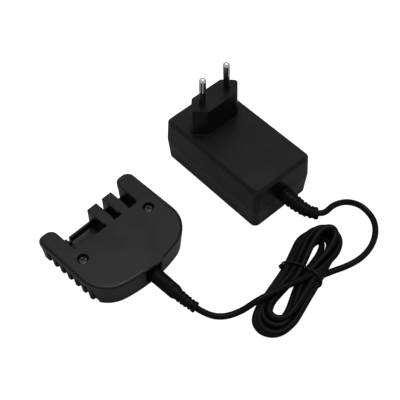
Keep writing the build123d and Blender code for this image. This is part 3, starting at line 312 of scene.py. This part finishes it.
# A lobe's points: shares of its reach along a leg, and shares of the half circle round its end
LEG_SHARES = (0.22, 0.45, 0.68)
BEND_SHARES = (0.25, 0.5, 0.75)
BEND_START = 0.7
BEND_REACH = 0.3
WIDENING_POWER = 1.4
RISING_POWER = 1.2


def hank_point(x, y, z):
    """A point of the hank's own frame, in the row frame."""
    return (
        HANK_CENTRE[0] + x * cos(HANK_TURN) - y * sin(HANK_TURN),
        HANK_CENTRE[1] + x * sin(HANK_TURN) + y * cos(HANK_TURN),
        z,
    )


def between(a, b, share):
    return a + (b - a) * share


def leg_point(slot, share, reach, edge_y, height):
    """A point of the leg that goes from a waist slot out to a lobe's edge."""
    y = between(slot[0], edge_y, sin(share * pi / 2) ** WIDENING_POWER)
    return (share * reach, y, between(slot[1], height, share**RISING_POWER))


def half_turn(side, start, lobe, end):
    """Points of one way round a lobe: from a waist slot out along one edge, round the end and back."""
    reach, right, left, height, lean = lobe
    first, last = (right, left) if side < 0 else (left, right)
    points = [leg_point(start, share, reach, side * first + lean, height) for share in LEG_SHARES]
    for share in BEND_SHARES:
        y = side * between(first, last, share) * cos(share * pi) + lean
        points.append(((BEND_START + BEND_REACH * sin(share * pi)) * reach, y, height))
    points += [leg_point(end, share, reach, -side * last + lean, height) for share in reversed(LEG_SHARES)]
    return points


def hank_points():
    """All the turns: down the right side, round the lower lobe, up the left and round the upper lobe."""
    points = []
    next_slots = RIGHT_WAIST[1:] + [LEAVING_SLOT]
    turns = zip(RIGHT_WAIST, LEFT_WAIST, LOWER_LOBES, UPPER_LOBES, next_slots)
    for right, left, lower, upper, after in turns:
        points.append((RIGHT_WAIST_X, *right))
        points += [(-x, y, z) for x, y, z in half_turn(-1, right, lower, left)]
        points.append((LEFT_WAIST_X, *left))
        points += half_turn(1, left, upper, after)
    return [hank_point(*p) for p in points]


# ---- Lead --------------------------------------------------------------------------------------------------

CORD_DIAMETER = 3.5

# The CAD's routes: from the boot to the hank, and from the barrel plug to the hank. The last point of the
# second one is inside the CAD's closed hank, and the lead here goes on into its own turns instead.
ADAPTER_ROUTE = [
    (58.9, 5.5, 11.9),
    (60.2, 7.0, 11.8),
    (60.9, 9.8, 11.2),
    (59.8, 16.4, 9.9),
    (60.4, 23.5, 7.1),
    (62.9, 29.3, 4.5),
    (68.0, 32.8, 2.6),
    (75.6, 32.3, 1.8),
    (81.6, 29.0, 1.8),
    (86.4, 23.4, 1.8),
    (89.4, 17.0, 1.8),
    (90.8, 10.0, 1.8),
    (90.5, 3.0, 1.8),
    (88.7, -4.2, 1.8),
    (86.2, -10.6, 1.8),
    (84.6, -15.4, 1.8),
]
PLUG_ROUTE = [
    (55.0, -80.7, 4.8),
    (61.1, -78.5, 2.8),
    (67.4, -72.7, 1.8),
    (71.7, -63.9, 3.5),
    (74.1, -57.5, 8.1),
    (76.5, -50.1, 10.1),
    (79.1, -39.9, 10.1),
    (82.9, -26.9, 10.05),
]


def make_lead():
    route = ADAPTER_ROUTE + hank_points() + list(reversed(PLUG_ROUTE[:-1]))
    lead = make_curve("lead", route, CORD_DIAMETER / 2)
    lead.data.materials.append(materials["cord_jacket"])
    length = line_length(lead)
    print("lead length", round(length, 3))
    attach(lead, "adapter")
    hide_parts("lead_adapter_side", "lead_hank", "lead_plug_side")


make_lead()

# ---- Twist tie ---------------------------------------------------------------------------------------------

# In the hank's own frame: over the waist, down its right side, back under it and up its left side
TIE_RADIUS = 0.6
TIE_LOOP = [
    (2.8, 11.6, 6.4),
    (3.6, 10.6, 8),
    (4.6, 7.6, 9),
    (5.4, 3.9, 9.5),
    (5.6, 0.4, 9.9),
    (5.2, -3, 10.5),
    (4.9, -6.2, 10.9),
    (4.1, -9.2, 10.6),
    (3.4, -11.6, 8.6),
    (3.2, -12, 5.4),
    (3.2, -11.4, 2.4),
    (3.2, -10.2, 0.65),
    (3, -5, 0.65),
    (2.8, 5, 0.65),
    (2.6, 9.6, 0.65),
    (2.4, 11.4, 2.2),
    (2.2, 11.8, 4.6),
]

# Its two ends are wound round each other from the foot to the tip
TWIST_FOOT = (2.4, 11.2, 5.8)
TWIST_TIP = (1.5, 12.0, 4.3)
TWIST_TURNS = 1.5
TWIST_STEPS = 12


def twisted_end(start_angle):
    """Points of one of the two ends, from the foot to the tip."""
    axis = Vector(TWIST_TIP) - Vector(TWIST_FOOT)
    across = axis.cross(Vector((0, 1, 0))).normalized()
    upward = axis.cross(across).normalized()
    points = []
    for step in range(TWIST_STEPS + 1):
        share = step / TWIST_STEPS
        angle = start_angle + 2 * pi * TWIST_TURNS * share
        offset = TIE_RADIUS * (across * cos(angle) + upward * sin(angle))
        points.append(tuple(Vector(TWIST_FOOT) + axis * share + offset))
    return points


def make_tie():
    wire = list(reversed(twisted_end(0.0))) + TIE_LOOP + twisted_end(pi)
    tie = make_curve("tie", [hank_point(*p) for p in wire], TIE_RADIUS)
    tie.data.materials.append(materials["tie_plastic"])
    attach(tie, "adapter")
    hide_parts("twist_tie")


make_tie()

# ---- Floor, world and light --------------------------------------------------------------------------------

FLOOR_SIZE = 6
FLOOR_DROP = 0.0003
FLOOR_GREY = 0.28
FLOOR_ROUGHNESS = 0.9
# Share of the floor's white that reflections and transmission see
REFLECTED_SHARE = 0.05
# Strength of the world on the object
WORLD_LIGHT = 0.5

KEY_PLACE = (-0.1, 0.2, 1.7)
KEY_TARGET = (0.02, -0.03, 0.0)
KEY_SIZE = (0.9, 0.6)
KEY_POWER = 14.0


def make_floor():
    """Floor that is plain white to the camera, and a grey that takes the object's shadow to all else."""
    material, tree, shader = new_material("floor")
    path = tree.nodes.new("ShaderNodeLightPath").outputs
    reflected = maths(tree, "ADD", path["Is Glossy Ray"], path["Is Transmission Ray"])
    white = maths(tree, "MULTIPLY_ADD", reflected, REFLECTED_SHARE, path["Is Camera Ray"])
    shader.inputs["Base Color"].default_value = (FLOOR_GREY, FLOOR_GREY, FLOOR_GREY, 1)
    shader.inputs["Roughness"].default_value = FLOOR_ROUGHNESS
    shader.inputs["Emission Color"].default_value = (1, 1, 1, 1)
    feed(tree, shader.inputs["Emission Strength"], white)
    bpy.ops.mesh.primitive_plane_add(size=FLOOR_SIZE, location=(0, 0, -FLOOR_DROP))
    floor = bpy.context.object
    floor.name = "floor"
    floor.data.materials.append(material)


def make_world():
    """Even light of WORLD_LIGHT on the object, and a plain white where the camera sees past the floor."""
    world = bpy.data.worlds.new("world")
    scene.world = world
    world.use_nodes = True
    tree = world.node_tree
    seen = tree.nodes.new("ShaderNodeLightPath").outputs["Is Camera Ray"]
    background = tree.nodes["Background"]
    background.inputs["Color"].default_value = (1, 1, 1, 1)
    strength = maths(tree, "MULTIPLY_ADD", seen, 1.0 - WORLD_LIGHT, WORLD_LIGHT)
    feed(tree, background.inputs["Strength"], strength)


def make_key_light():
    data = bpy.data.lights.new("key", "AREA")
    data.shape = "RECTANGLE"
    data.size, data.size_y = KEY_SIZE
    data.energy = KEY_POWER
    light = bpy.data.objects.new("key", data)
    turn = (Vector(KEY_TARGET) - Vector(KEY_PLACE)).to_track_quat("-Z", "Y").to_matrix()
    light.matrix_world = Matrix.Translation(KEY_PLACE) @ turn.to_4x4()
    scene.collection.objects.link(light)


make_floor()
make_world()
make_key_light()
scene.view_settings.view_transform = "Standard"
